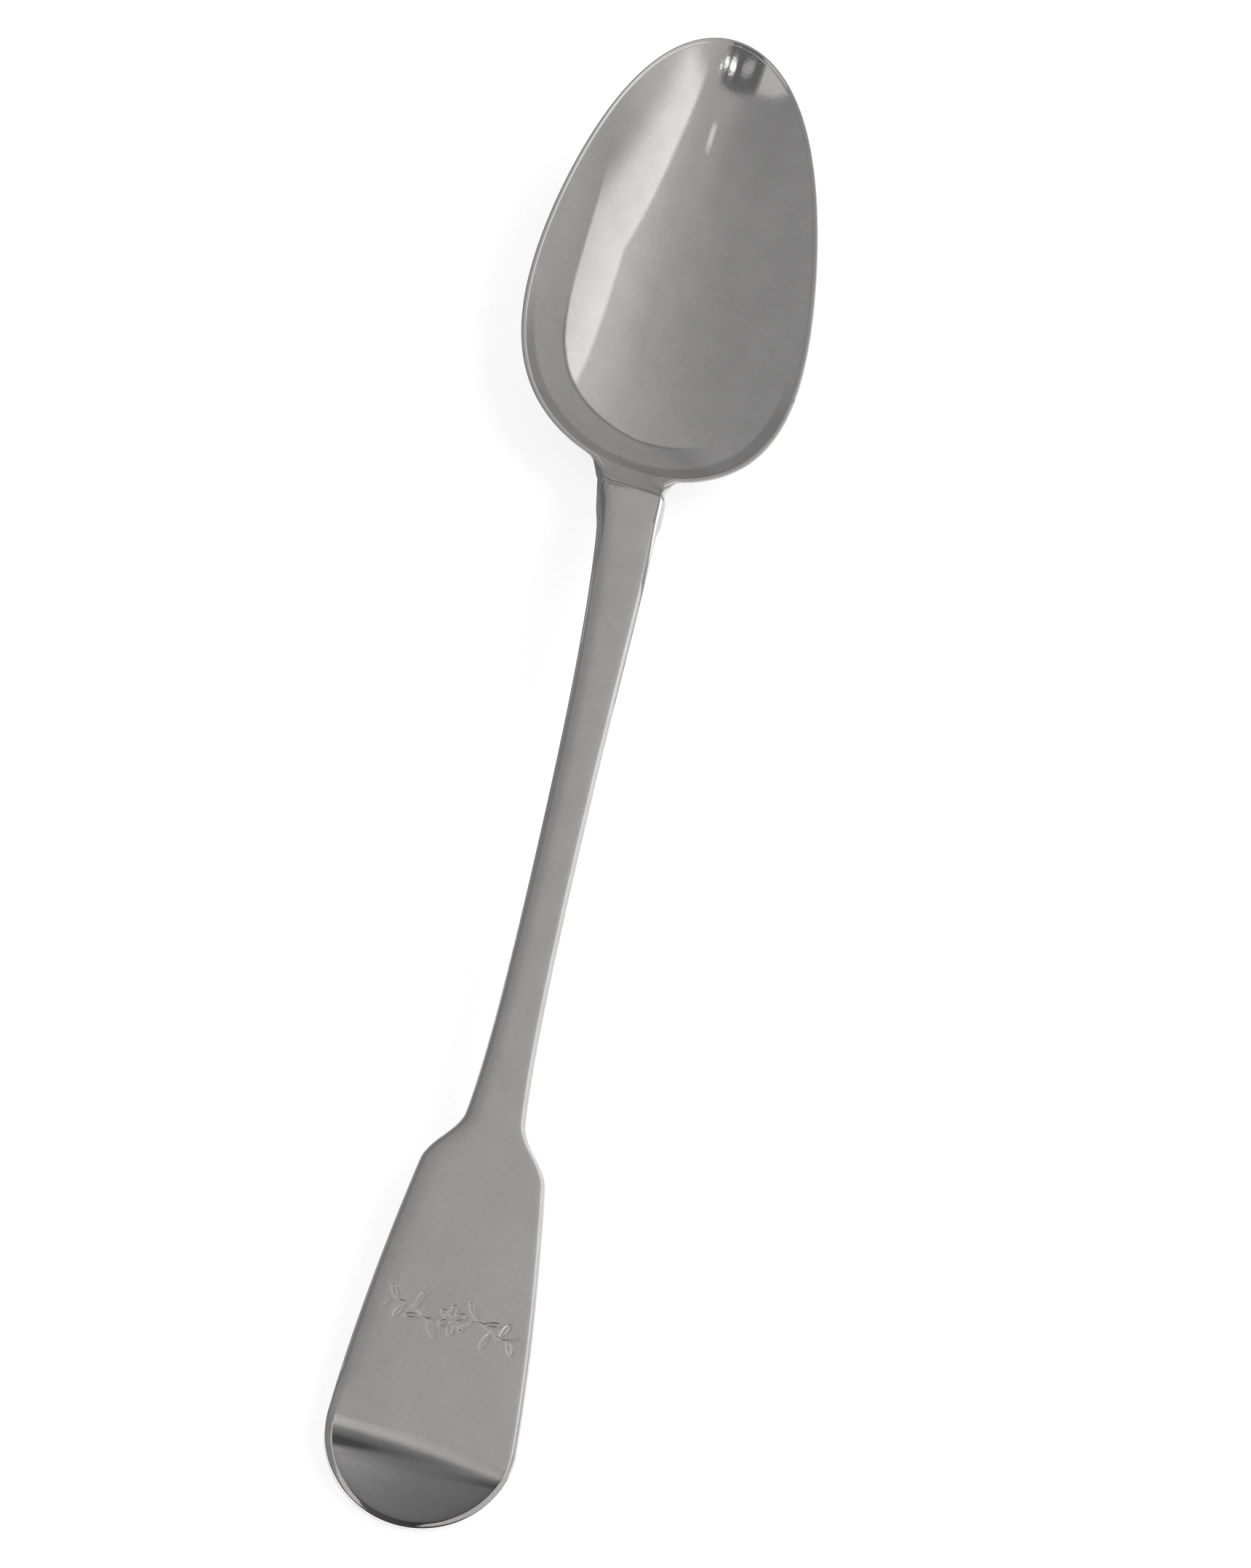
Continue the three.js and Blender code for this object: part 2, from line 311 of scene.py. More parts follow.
def half_shell(name, inset, depth, share, lean):
    """One side of the bowl: half a ball, its rings lowered to a dish, then drawn out to a swept egg."""
    half_width = (bowl_high.x - inset) / EGG_WIDEST
    half_length = BOWL_LENGTH / 2 - inset
    bpy.ops.mesh.primitive_uv_sphere_add(segments=BOWL_SEGMENTS, ring_count=BOWL_RINGS, radius=1)
    shell = begin(name)
    pick(lambda at: at.z > TINY)
    bpy.ops.mesh.delete(type="VERT")
    for ring in range(BOWL_RINGS // 2 + 1):
        height = -math.sin(math.pi * ring / BOWL_RINGS)
        pick(lambda at: abs(at.z - height) < RING_CLOSE)
        bpy.ops.transform.translate(value=(0, 0, -depth * share(height * height) - height))
    bpy.ops.mesh.select_all(action="SELECT")
    bpy.ops.transform.resize(value=(half_width, half_length, 1), center_override=(0, 0, 0))
    bpy.ops.transform.translate(value=(0, BOWL_MIDDLE_Y, 0))
    done()
    reach = Vector((half_width * FORMER_SPREAD, half_length * FORMER_SPREAD, depth))
    middle = Vector((0, BOWL_MIDDLE_Y, 0))

    def swept(at):
        c = (at.y - BOWL_MIDDLE_Y) / half_length
        return Vector((at.x * egg_taper(c), at.y, at.z * (1 - lean * c) + rim_height(at.y)))

    bend(shell, middle - reach, middle + reach, swept)
    return shell


def raise_lip(outer, wall, turn, top):
    """Raise one of the two open edges of the bowl, and turn it over towards the other."""
    select([
        edge for edge in open_mesh().edges
        if edge.is_boundary and (edge.link_faces[0].normal.z < 0) == outer
    ])
    bpy.ops.mesh.extrude_region_move(TRANSFORM_OT_translate={"value": (0, 0, wall)})
    bpy.ops.mesh.extrude_region_move(TRANSFORM_OT_translate={"value": (0, 0, top)})
    spread = (1 + turn / bowl_high.x, 1 + turn / (BOWL_LENGTH / 2), 1)
    bpy.ops.transform.resize(value=spread, center_override=(0, BOWL_MIDDLE_Y, 0))


def open_heel():
    """Take out the faces of the heel where the root grows out."""
    half_turn = math.pi * ROOT_SEGMENTS / BOWL_SEGMENTS
    root_half = bowl_high.x * math.sin(half_turn) * ROOT_BREADTH
    depth = BOWL_DEPTH * dish_share(math.sin(math.pi * (ROOT_RINGS - 0.5) / BOWL_RINGS) ** 2)
    root_floor = rim_height(HEEL_Y) - depth

    def in_root(face):
        at = face.calc_center_median()
        near_heel = abs(at.x) < root_half and at.y < HEEL_Y + ROOT_LENGTH
        return near_heel and at.z > root_floor and face.normal.y < ROOT_FACING

    select([face for face in open_mesh().faces if in_root(face)])
    bpy.ops.mesh.delete(type="FACE")


def bowl_shell():
    """Both sides of the bowl joined by a raised rim, with a hole in the heel where the root grows out."""
    outer = half_shell("spoon", 0, BOWL_DEPTH, dish_share, 0)
    inner = half_shell("hollow", RIM_WALL, HOLLOW_DEPTH, hollow_share, HOLLOW_LEAN)
    edit(inner)
    bpy.ops.mesh.select_all(action="SELECT")
    bpy.ops.mesh.flip_normals()
    done()
    only(outer)
    inner.select_set(True)
    bpy.ops.object.join()
    edit(outer)
    pick(lambda at: at.z < 0)
    bpy.ops.transform.resize(value=(1, 1, 0), center_override=(0, 0, 0))
    raise_lip(outer=False, wall=INNER_LIP_WALL, turn=INNER_LIP_TURN, top=INNER_LIP_TOP)
    raise_lip(outer=True, wall=OUTER_LIP_WALL, turn=OUTER_LIP_TURN, top=OUTER_LIP_TOP)
    select([edge for edge in open_mesh().edges if edge.is_boundary])
    bpy.ops.mesh.bridge_edge_loops()
    open_heel()
    done()
    return outer


# Stem


def curve(start, bend_1, bend_2, end, steps):
    """A bent stretch of the stem's half outline, as (distance, half width) points."""
    points = interpolate_bezier(*(Vector((*p, 0)) for p in (start, bend_1, bend_2, end)), steps + 1)
    return [(point.x, point.y) for point in points]


def two_thirds(end, control):
    """The place two thirds of the way from an end to a corner, to bend a stretch round it."""
    return tuple(a + (b - a) * 2 / 3 for a, b in zip(end, control))


def refined(points, near_end):
    """The same outline with more points where the neck is creased and the end is folded."""
    fine = points[:1]
    for (a, width_a), (b, width_b) in zip(points, points[1:]):
        steps = FINE_STEPS if a < NECK_CREASE_END or b > near_end else 1
        for k in range(1, steps + 1):
            fine.append((a + (b - a) * k / steps, width_a + (width_b - width_a) * k / steps))
    return fine


def stem_outline():
    """The stem's half outline from its root to the start of its round end."""
    flare = (-FLARE_DEPTH, FLARE_HALF)
    corner = (0, NECK_HALF)
    root = (ROOT_LENGTH, NECK_HALF)
    narrow = (NARROWEST_AT, STEM_HALF)
    shoulder_root = (FIDDLE_AT - SHOULDER_LENGTH, SHOULDER_ROOT_HALF)
    shoulder = (FIDDLE_AT, SHOULDER_HALF)
    end = (STEM_LENGTH - END_ROUND, FIDDLE_HALF)
    lean = SHOULDER_LEAN * SHOULDER_LENGTH
    ease = SHOULDER_EASE * SHOULDER_LENGTH
    swell = (
        FIDDLE_AT + (end[0] - FIDDLE_AT) * SWELL_AT,
        FIDDLE_HALF + (SHOULDER_HALF - FIDDLE_HALF) * SWELL_SHARE)
    points = curve(flare, two_thirds(flare, corner), two_thirds(root, corner), root, FLARE_STEPS)
    points = [point for point in points if point[0] > ROOT_START - TINY]
    points += curve(
        root, (NARROWEST_AT * TAPER_START, NECK_HALF * TAPER_WIDTH),
        (NARROWEST_AT * TAPER_END, STEM_HALF), narrow, TAPER_STEPS)[1:]
    points += curve(
        narrow, ((narrow[0] + shoulder_root[0]) / 2, STEM_HALF),
        (shoulder_root[0] - SHOULDER_LENGTH, SHOULDER_ROOT_HALF - lean), shoulder_root, WAIST_STEPS)[1:]
    points += curve(
        shoulder_root, (shoulder_root[0] + ease, SHOULDER_ROOT_HALF + lean),
        (shoulder[0] - ease, SHOULDER_HALF - lean), shoulder, SHOULDER_STEPS)[1:]
    points += curve(
        shoulder, two_thirds(shoulder, swell), two_thirds(end, swell), end, FIDDLE_STEPS)[1:]
    return refined(points, end[0] - FINE_AT_END)


def fin(distance):
    """How far the fins stand out at the back edge, from 0 to 1."""
    rise = smooth_step(distance, ROOT_START, ROOT_START + FIN_LENGTH)
    return rise - smooth_step(distance, FIN_END, FIN_END + FIN_LENGTH)


END_Z = FIDDLE_THICKNESS - END_SETTLE
TURN_Y = END_Y + TURN_LENGTH
TURN_Z = END_Z + TURN_DROP
HEEL_Z = rim_height(HEEL_Y)
ARCH = interpolate_bezier(
    Vector((HEEL_Y, HEEL_Z, 0)), Vector((HEEL_Y - NECK_REACH, HEEL_Z + NECK_LIFT, 0)),
    Vector((TURN_Y + ARCH_REACH, TURN_Z + ARCH_LIFT, 0)), Vector((TURN_Y, TURN_Z, 0)), ARCH_STEPS)


def front_height(y):
    """The front of the stem seen from the side."""
    if y <= TURN_Y:
        return TURN_Z - (TURN_Y - y) * ARCH_LIFT / ARCH_REACH
    if y >= HEEL_Y:
        return HEEL_Z - (y - HEEL_Y) * NECK_LIFT / NECK_REACH
    after = next(i for i, point in enumerate(ARCH) if point.x <= y)
    a, b = ARCH[max(after - 1, 0)], ARCH[after]
    share = 0 if a.x == b.x else (a.x - y) / (a.x - b.x)
    return a.y + (b.y - a.y) * share


def stem_thickness(distance):
    share = min(1, max(0, distance / (FIDDLE_AT - SHOULDER_LENGTH)))
    return NECK_THICKNESS + (FIDDLE_THICKNESS - NECK_THICKNESS) * share


def edge_depth(distance):
    """How much deeper the facets along the front edges are filed than on the fiddle."""
    fade = smooth_step(distance, NECK_EDGE_END, NECK_EDGE_END + NECK_EDGE_FADE)
    return NECK_EDGE + (1 - NECK_EDGE) * fade


def stem_section(half, y, thickness):
    """The stem's section as a ring of edges: a flat front, a facet along each edge and a crowned back."""
    height = thickness - BACK_CROWN
    bpy.ops.mesh.primitive_plane_add(size=1, rotation=(math.pi / 2, 0, 0), location=(0, y, 0))
    blank = begin("stem_blank")
    bpy.ops.transform.resize(value=(2 * half, 1, height))
    bpy.ops.transform.translate(value=(0, 0, -height / 2))
    for level in (0, -height):
        pick(lambda at: abs(at.z - level) < TINY)
        bpy.ops.mesh.subdivide(number_cuts=FACE_COLUMNS - 1)
    pick(lambda at: abs(at.x) > half - TINY and at.z > -TINY)
    bpy.ops.mesh.bevel(offset=EDGE_WIDTH, segments=EDGE_STEPS, affect="VERTICES")
    for step, (inward, down) in enumerate(EDGE_PROFILE):
        angle = math.pi / 2 * step / EDGE_STEPS
        across = half - EDGE_WIDTH * (1 - math.sin(angle))
        level = EDGE_WIDTH * (math.cos(angle) - 1)
        move = Vector((half - EDGE_WIDTH * inward - across, 0, -EDGE_WIDTH * NECK_EDGE * down - level))
        for side in (-1, 1):
            pick(lambda at: abs(at.x - side * across) < CLOSE and abs(at.z - level) < CLOSE)
            bpy.ops.transform.translate(value=(side * move.x, 0, move.z))
    pick(lambda at: abs(at.x) > half - TINY and at.z < -height + TINY)
    bpy.ops.mesh.bevel(offset=BACK_EDGE, segments=EDGE_STEPS, affect="VERTICES")
    for column in range(FACE_COLUMNS // 2):
        share = 1 - (2 * column / FACE_COLUMNS) ** 2
        across = 2 * half * column / FACE_COLUMNS
        for level, bulge in ((0, FRONT_CROWN), (-height, -BACK_CROWN)):
            pick(lambda at: abs(abs(at.x) - across) < TINY and abs(at.z - level) < TINY)
            bpy.ops.transform.translate(value=(0, 0, bulge * share))
    bpy.ops.mesh.select_all(action="SELECT")
    bpy.ops.mesh.delete(type="ONLY_FACE")
    bpy.ops.mesh.select_all(action="SELECT")
    bpy.ops.transform.translate(value=(0, 0, front_height(y)))
    return blank


def slant_fins(y, front, inside, proud):
    """Pull the edges of one ring outwards, the more the deeper they lie."""
    for side, reach in ((-1, FIN_LEFT), (1, FIN_RIGHT)):
        for depth, share in FIN_SLANT:
            pick(lambda at: abs(at.y - y) < TINY and at.x * side > inside and at.z < front - depth)
            bpy.ops.transform.translate(value=(side * proud * reach * share, 0, 0))


def stem_blank():
    """The stem: its section is extruded along its arch and its outline, and its end is spun round."""
    outline = stem_outline()
    distance, half = outline[0]
    thickness = stem_thickness(distance)
    blank = stem_section(half, HEEL_Y - distance, thickness)
    stood = 0
    for next_distance, next_half in outline[1:]:
        y = HEEL_Y - next_distance
        front = front_height(y)
        next_thickness = stem_thickness(next_distance)
        thinning = next_thickness / thickness
        step = Vector((0, distance - next_distance, front - front_height(HEEL_Y - distance)))
        bpy.ops.mesh.extrude_region_move(TRANSFORM_OT_translate={"value": step})
        bpy.ops.transform.resize(value=(1, 1, thinning), center_override=(0, 0, front))
        inside = half - EDGE_WIDTH - TINY
        middle = front - next_thickness / 2
        pick(lambda at: abs(at.y - y) < TINY and abs(at.x) > inside and at.z > middle)
        deepening = edge_depth(next_distance) / edge_depth(distance) / thinning
        bpy.ops.transform.resize(value=(1, 1, deepening), center_override=(0, 0, front))
        pick(lambda at: abs(at.y - y) < TINY and abs(at.x) < inside)
        spread = (next_half - EDGE_WIDTH) / (half - EDGE_WIDTH)
        bpy.ops.transform.resize(value=(spread, 1, 1), center_override=(0, 0, 0))
        proud = fin(next_distance) - stood
        stood += proud
        if proud:
            slant_fins(y, front, inside, proud)
        for side in (-1, 1):
            pick(lambda at: abs(at.y - y) < TINY and at.x * side > inside)
            bpy.ops.transform.translate(value=(side * (next_half - half), 0, 0))
        pick(lambda at: abs(at.y - y) < TINY)
        distance, half, thickness = next_distance, next_half, next_thickness
    end = HEEL_Y - distance
    pick(lambda at: abs(at.y - end) < TINY and at.x > -TINY)
    bpy.ops.mesh.spin(steps=END_STEPS, angle=math.pi, center=(0, end, 0), axis=(0, 0, 1))
    pick(lambda at: at.y < end - TINY)
    bpy.ops.transform.resize(value=(1, END_ROUND / half, 1), center_override=(0, end, 0))
    bpy.ops.mesh.select_all(action="SELECT")
    bpy.ops.mesh.remove_doubles(threshold=TINY)
    done()
    return blank


def fold_height(x, y):
    """The front of the turned-down end: it steepens towards a crease, and runs on straight below it."""
    to_right = (x / FIDDLE_HALF + 1) / 2
    length = FOLD_LEFT + (FOLD_RIGHT - FOLD_LEFT) * to_right
    crease = END_Y + FOLD_FROM_END - FOLD_SKEW * x / FIDDLE_HALF
    start = crease + length
    if y > start:
        return front_height(y)
    flat_slope = ARCH_LIFT / ARCH_REACH
    extra_slope = FOLD_SLOPE + (FOLD_SLOPE_RIGHT - FOLD_SLOPE) * to_right - flat_slope
    crease_height = front_height(start) - length * (flat_slope + extra_slope / (FOLD_POWER + 1))
    if y < crease:
        return END_Z + (crease_height - END_Z) * (y - END_Y) / (crease - END_Y)
    into = (start - y) / length
    drop_share = flat_slope * into + extra_slope * into ** (FOLD_POWER + 1) / (FOLD_POWER + 1)
    return front_height(start) - length * drop_share


def turn_down(spoon):
    """Fold the end of the handle down."""
    round_start = END_Y + END_ROUND
    top = round_start + FOLD_LEFT
    edit(spoon)
    select([face for face in open_mesh().faces if face.calc_center_median().y < round_start])
    bpy.ops.mesh.subdivide(number_cuts=END_CUTS)
    done()

    def folded(at):
        lift = fold_height(at.x, min(at.y, top)) - front_height(max(min(at.y, top), round_start))
        return at + Vector((0, 0, lift))

    low = Vector((-FIDDLE_HALF, END_Y - FORMER_END, -NECK_THICKNESS))
    high = Vector((FIDDLE_HALF, top, NECK_THICKNESS))
    bend(spoon, low, high, folded)


def crease_neck(spoon):
    """Bend the neck at the end of the root, most on its right, and let the stem settle into its arch."""
    def on_side(x):
        return 1 if x > 0 else NECK_CREASE_LEFT

    def creased(at):
        distance = HEEL_Y - at.y
        steeper = min(1, max(0, (distance - ROOT_START) / (NECK_CREASE_AT - ROOT_START)))
        easing = min(1, max(0, (distance - NECK_CREASE_AT) / (NECK_CREASE_END - NECK_CREASE_AT)))
        lift = NECK_RAISE * steeper ** 2 - NECK_CREASE * (2 * easing - easing ** 2)
        return at + Vector((0, 0, lift * on_side(at.x)))

    def settled(at):
        share = smooth_step(HEEL_Y - at.y, NECK_CREASE_END, NECK_SETTLED)
        return at + Vector((0, 0, (NECK_CREASE - NECK_RAISE) * share * on_side(at.x)))

    for near, far, place in ((0, NECK_CREASE_END, creased), (NECK_CREASE_END, NECK_SETTLED, settled)):
        low = Vector((-NECK_HALF, HEEL_Y - far, HEEL_Z - NECK_THICKNESS))
        high = Vector((NECK_HALF, HEEL_Y - near, HEEL_Z + FORMER_TOP))
        bend(spoon, low, high, place)


def whole_spoon():
    """Bowl and stem joined at the root, with a rounded rim, before the cut."""
    spoon = bowl_shell()
    blank = stem_blank()
    only(spoon)
    blank.select_set(True)
    bpy.ops.object.join()
    edit(spoon)
    select([edge for edge in open_mesh().edges if edge.is_boundary])
    bpy.ops.mesh.bridge_edge_loops(number_cuts=ROOT_CUTS, interpolation="LINEAR")
    bpy.ops.mesh.select_all(action="SELECT")
    bpy.ops.mesh.normals_make_consistent(inside=False)
    done()
    apply(spoon, "SUBSURF", levels=1, render_levels=1)
    crease_neck(spoon)
    turn_down(spoon)
    return spoon


# Pieces


def cut(piece, place, normal, above):
    """Cut a piece at a plane, keep what is above or below it and close the cut."""
    edit(piece)
    bpy.ops.mesh.select_all(action="SELECT")
    bpy.ops.mesh.bisect(
        plane_co=place, plane_no=normal, use_fill=True, clear_inner=above, clear_outer=not above)
    bpy.ops.mesh.mark_sharp()
    done()


def copy_of(piece, name):
    only(piece)
    bpy.ops.object.duplicate()
    twin = bpy.context.object
    twin.name = name
    return twin


def part_spoon(spoon):
    """Part the spoon at the scarf: bowl above it, stem below it and a film of solder between."""
    normal = Vector((0, math.sin(SCARF_ANGLE), math.cos(SCARF_ANGLE)))
    y = HEEL_Y - NECK_CREASE_AT
    middle = Vector((0, y, front_height(y) + NECK_RAISE))
    upper = middle + normal * SOLDER_FILM / 2
    lower_side = middle - normal * SOLDER_FILM / 2
    stem = copy_of(spoon, "spoon_stem")
    cut(stem, lower_side, normal, above=False)
    solder = copy_of(spoon, "spoon_solder")
    cut(solder, lower_side, normal, above=True)
    cut(solder, upper, normal, above=False)
    spoon.name = "spoon_bowl"
    cut(spoon, upper, normal, above=True)
    return spoon, stem, solder


def back_line(y):
    """The back of the stem at its middle, run on in a straight line to the bowl's back."""
    if y <= HEEL_Y:
        return front_height(y) - stem_thickness(HEEL_Y - y)
    reach_c = (HEEL_Y + DROP_REACH - BOWL_MIDDLE_Y) / (BOWL_LENGTH / 2)
    reach_z = RIM_MIDDLE_Z + rim_curve(reach_c) - BOWL_DEPTH * dish_share(1 - reach_c ** 2)
    start_z = HEEL_Z - NECK_THICKNESS
    return start_z + (reach_z - start_z) * (y - HEEL_Y) / DROP_REACH


def heel_drop(bowl, stem):
    """A ball drawn out to a tear along the back line, and fitted to the bowl and the stem."""
    bpy.ops.mesh.primitive_uv_sphere_add(
        segments=DROP_SEGMENTS, ring_count=DROP_RINGS, radius=1, rotation=(math.pi / 2, 0, 0))
    drop = begin("spoon_drop")
    pick(lambda at: at.z > TINY)
    bpy.ops.transform.resize(value=(1, 1, DROP_UPWARD), center_override=(0, 0, 0))
    for ring in range(DROP_RINGS + 1):
        share = ring / DROP_RINGS
        height = math.cos(math.pi * share)
        roundness = math.sin(math.pi * share)
        fullness = DROP_POINT + (1 - DROP_POINT) * smooth_step(share, 0, DROP_FULL_AT)
        girth = roundness ** DROP_BLUNTNESS * fullness
        y = HEEL_Y - DROP_TAIL + (DROP_TAIL + DROP_REACH) * (1 - height) / 2
        pick(lambda at: abs(at.y - height) < CLOSE)
        # A shaped ring waits further along Y, where the picks for the other rings don't find it
        bpy.ops.transform.translate(value=(0, DROP_ASIDE + y - height, 0))
        if 0 < ring < DROP_RINGS:
            wide = DROP_WIDTH / 2 * girth / roundness
            deep = DROP_HEIGHT * math.sqrt(girth) / roundness
            bpy.ops.transform.resize(value=(wide, 1, deep), center_override=(0, 0, 0))
        bpy.ops.transform.translate(value=(0, 0, back_line(y)))
    bpy.ops.mesh.select_all(action="SELECT")
    bpy.ops.transform.translate(value=(0, -DROP_ASIDE, 0))
    bpy.ops.mesh.normals_make_consistent(inside=False)
    done()
    for neighbour in (bowl, stem):
        apply(drop, "BOOLEAN", operation="DIFFERENCE", object=neighbour, solver="EXACT")
    return drop


def lower(piece, depth, share_at):
    """Lower the front of a piece by a depth times the share that share_at gives for a place."""
    group = piece.vertex_groups.new(name="lowered")
    for vertex in piece.data.vertices:
        share = share_at(vertex.co) * smooth_step(vertex.normal.z, 0, FRONT_FACING)
        if share > 0:
            group.add([vertex.index], share, "REPLACE")
    apply(piece, "DISPLACE", direction="Z", mid_level=0, strength=-depth, vertex_group=group.name)
    piece.vertex_groups.clear()


def wear_left_edge(stem):
    """Round off the left margin of the front, which the hand has worn."""
    outline = stem_outline()
    round_end = STEM_LENGTH - END_ROUND

    def worn(at):
        distance = HEEL_Y - at.y
        after = next((i for i, point in enumerate(outline) if point[0] >= distance), len(outline) - 1)
        (a, half_a), (b, half_b) = outline[max(after, 1) - 1], outline[max(after, 1)]
        half = half_a + (half_b - half_a) * min(1, max(0, (distance - a) / (b - a)))
        share = max(0, 1 - (half + at.x) / (WORN_WIDTH + WORN_SPREAD * half)) ** 2
        begun = smooth_step(distance, WORN_FROM, WORN_FULL)
        ended = smooth_step(distance, round_end - WORN_FADE, round_end - WORN_END)
        return min(1, share) * begun * (1 - ended)

    lower(stem, WORN_DEPTH, worn)


# Engraving, its strokes in millimetres from the middle of the sprig
SPRIG_PLACE = Vector((0.4, -120, 0)) * MM
SPRIG_REACH = Vector((12.2, 5.6, 0)) * MM
SPRIG_DEPTH = 0.09 * MM
SPRIG_CUTS = 9
STROKE_HALF = 0.28 * MM
STROKE_STEPS = 50
LOOP_REACH = 1.3
PETALS = 6
PETAL_TURN = 30
PETAL_LENGTH = 2.4
PETAL_WIDTH = 1.5
TENDRIL = ((2.6, -0.4), (5.2, 3.2), (7.2, -3.6), (11.4, -0.2))
LEAF_WIDTH = 1.1
LEAVES = (
    (4.2, 0.7, 125, 3.2), (5.2, 0.5, 10, 2.8), (6.6, -0.4, -110, 3.2), (8.2, -1.1, 60, 3),
    (9.6, -1, -60, 2.6))


def loop(x, y, degrees, length, width):
    """A petal or a leaf: one closed bend that starts and ends at its root."""
    turn = Matrix.Rotation(math.radians(degrees), 3, "Z")
    reach = length * LOOP_REACH
    bends = ((0, 0), (reach, width), (reach, -width), (0, 0))
    return [Vector((x, y, 0)) + turn @ Vector((*bend_at, 0)) for bend_at in bends]


def sprig_strokes():
    """A flower between two tendrils with leaves, the left one turned half round from the right one."""
    turns = [PETAL_TURN + 360 * petal / PETALS for petal in range(PETALS)]
    flower = [loop(0, 0, turn, PETAL_LENGTH, PETAL_WIDTH) for turn in turns]
    right = [[Vector((*bend_at, 0)) for bend_at in TENDRIL]]
    right += [loop(*leaf, LEAF_WIDTH) for leaf in LEAVES]
    return flower + right + [[-bend_at for bend_at in stroke] for stroke in right]


def engrave_sprig(stem):
    """Cut a leafy sprig into the front of the handle, in shallow strokes."""
    points = []
    for stroke in sprig_strokes():
        points += [SPRIG_PLACE + point * MM for point in interpolate_bezier(*stroke, STROKE_STEPS)]
    strokes = KDTree(len(points))
    for i, point in enumerate(points):
        strokes.insert(point, i)
    strokes.balance()

    def near(at):
        return all(abs((at - SPRIG_PLACE)[axis]) < SPRIG_REACH[axis] for axis in (0, 1))

    def engraved(at):
        if not near(at):
            return 0
        return smooth_step(strokes.find(Vector((at.x, at.y, 0)))[2], STROKE_HALF, 0)

    edit(stem)
    select([
        face for face in open_mesh().faces
        if face.normal.z > FLAT_FACING and near(face.calc_center_median())
    ])
    bpy.ops.mesh.subdivide(number_cuts=SPRIG_CUTS)
    done()
    lower(stem, SPRIG_DEPTH, engraved)


bowl, stem, solder = part_spoon(whole_spoon())
wear_left_edge(stem)
engrave_sprig(stem)
drop = heel_drop(bowl, stem)
for piece, node, slot in (
        (bowl, "bowl", "bowl_silver"), (stem, "stem", "stem_silver"),
        (solder, "neck_solder", "solder"), (drop, "heel_drop", "drop_silver")):
    only(piece)
    bpy.ops.object.shade_smooth_by_angle(angle=SMOOTH_ANGLE)
    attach(piece, "root")
    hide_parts(node)

# Camera
FOCUS_PIXELS = 2998.36
PHOTO_HEIGHT = 2156
SENSOR = 36
AIM = Vector((10.02, -18.57, 15)) * MM
DISTANCE = 401.53 * MM
TILT_X = -0.19631
TILT_Y = 0.48003
ROLL = 0.19534


def add_camera():
    level = math.cos(TILT_Y)
    back = Vector((math.sin(TILT_X) * level, -math.sin(TILT_Y), math.cos(TILT_X) * level))
    right = Vector((0, 1, 0)).cross(back).normalized()
    up = back.cross(right)
    turned_right = math.cos(ROLL) * right + math.sin(ROLL) * up
    turned_up = math.cos(ROLL) * up - math.sin(ROLL) * right
    bpy.ops.object.camera_add()
    camera = bpy.context.object
    pose = Matrix((turned_right, turned_up, back)).transposed().to_4x4()
    pose.translation = AIM + back * DISTANCE
    camera.matrix_world = pose
    camera.data.lens = FOCUS_PIXELS * SENSOR / PHOTO_HEIGHT
    camera.data.sensor_width = SENSOR
    bpy.context.scene.camera = camera


add_camera()
bpy.context.scene.view_settings.view_transform = "Standard"

# Shader maths


class Wire:
    """A node's output. Arithmetic on it adds Math nodes to its tree."""

    def __init__(self, tree, output):
        self.tree = tree
        self.output = output

    def math(self, operation, *values):
        return self.tree.node("ShaderNodeMath", {"operation": operation}, *values)

    def __add__(self, other):
        return self.math("ADD", self, other)

    __radd__ = __add__

    def __sub__(self, other):
        return self.math("SUBTRACT", self, other)

    def __rsub__(self, other):
        return self.math("SUBTRACT", other, self)

    def __mul__(self, other):
        return self.math("MULTIPLY", self, other)

    __rmul__ = __mul__

    def __truediv__(self, other):
        return self.math("DIVIDE", self, other)

    def __rtruediv__(self, other):
        return self.math("DIVIDE", other, self)

    def __pow__(self, other):
        return self.math("POWER", self, other)

    def __rpow__(self, other):
        return self.math("POWER", other, self)

    def arc_cosine(self):
        return self.math("ARCCOSINE", self)

    def most(self, other):
        return self.math("MAXIMUM", self, other)

    def rising(self, low, high):
        """0 below low, 1 above high, and smooth between. From high to low it falls."""
        settings = {"interpolation_type": "SMOOTHSTEP"}
        return self.tree.node("ShaderNodeMapRange", settings, self, low, high, 0, 1)

    def toward(self, other, share):
        """This value where share is 0, and the other one where it is 1."""
        return self + (other - self) * share


class Tree:
    """A node tree that is written in Python."""

    def __init__(self, owner):
        owner.use_nodes = True
        self.nodes = owner.node_tree.nodes
        self.links = owner.node_tree.links
        self.nodes.clear()

    def node(self, kind, settings, *values, out=0, **named):
        """Add a node with its settings, then its values or links in order or by name."""
        node = self.nodes.new(kind)
        for key, value in settings.items():
            if key == "stops":
                self.set_stops(node.color_ramp, value)
            else:
                setattr(node, key, value)
        for place, value in (*enumerate(values), *named.items()):
            socket = node.inputs[place if isinstance(place, int) else place.replace("_", " ")]
            if isinstance(value, Wire):
                self.links.new(value.output, socket)
            else:
                socket.default_value = value
        return Wire(self, node.outputs[out]) if node.outputs else None

    def set_stops(self, ramp, stops):
        """Give a new ramp its stops, as (place, grey) pairs."""
        for _ in range(len(stops) - len(ramp.elements)):
            ramp.elements.new(1)
        for element, (place, grey) in zip(ramp.elements, stops):
            element.position = place
            element.color = (grey, grey, grey, 1)


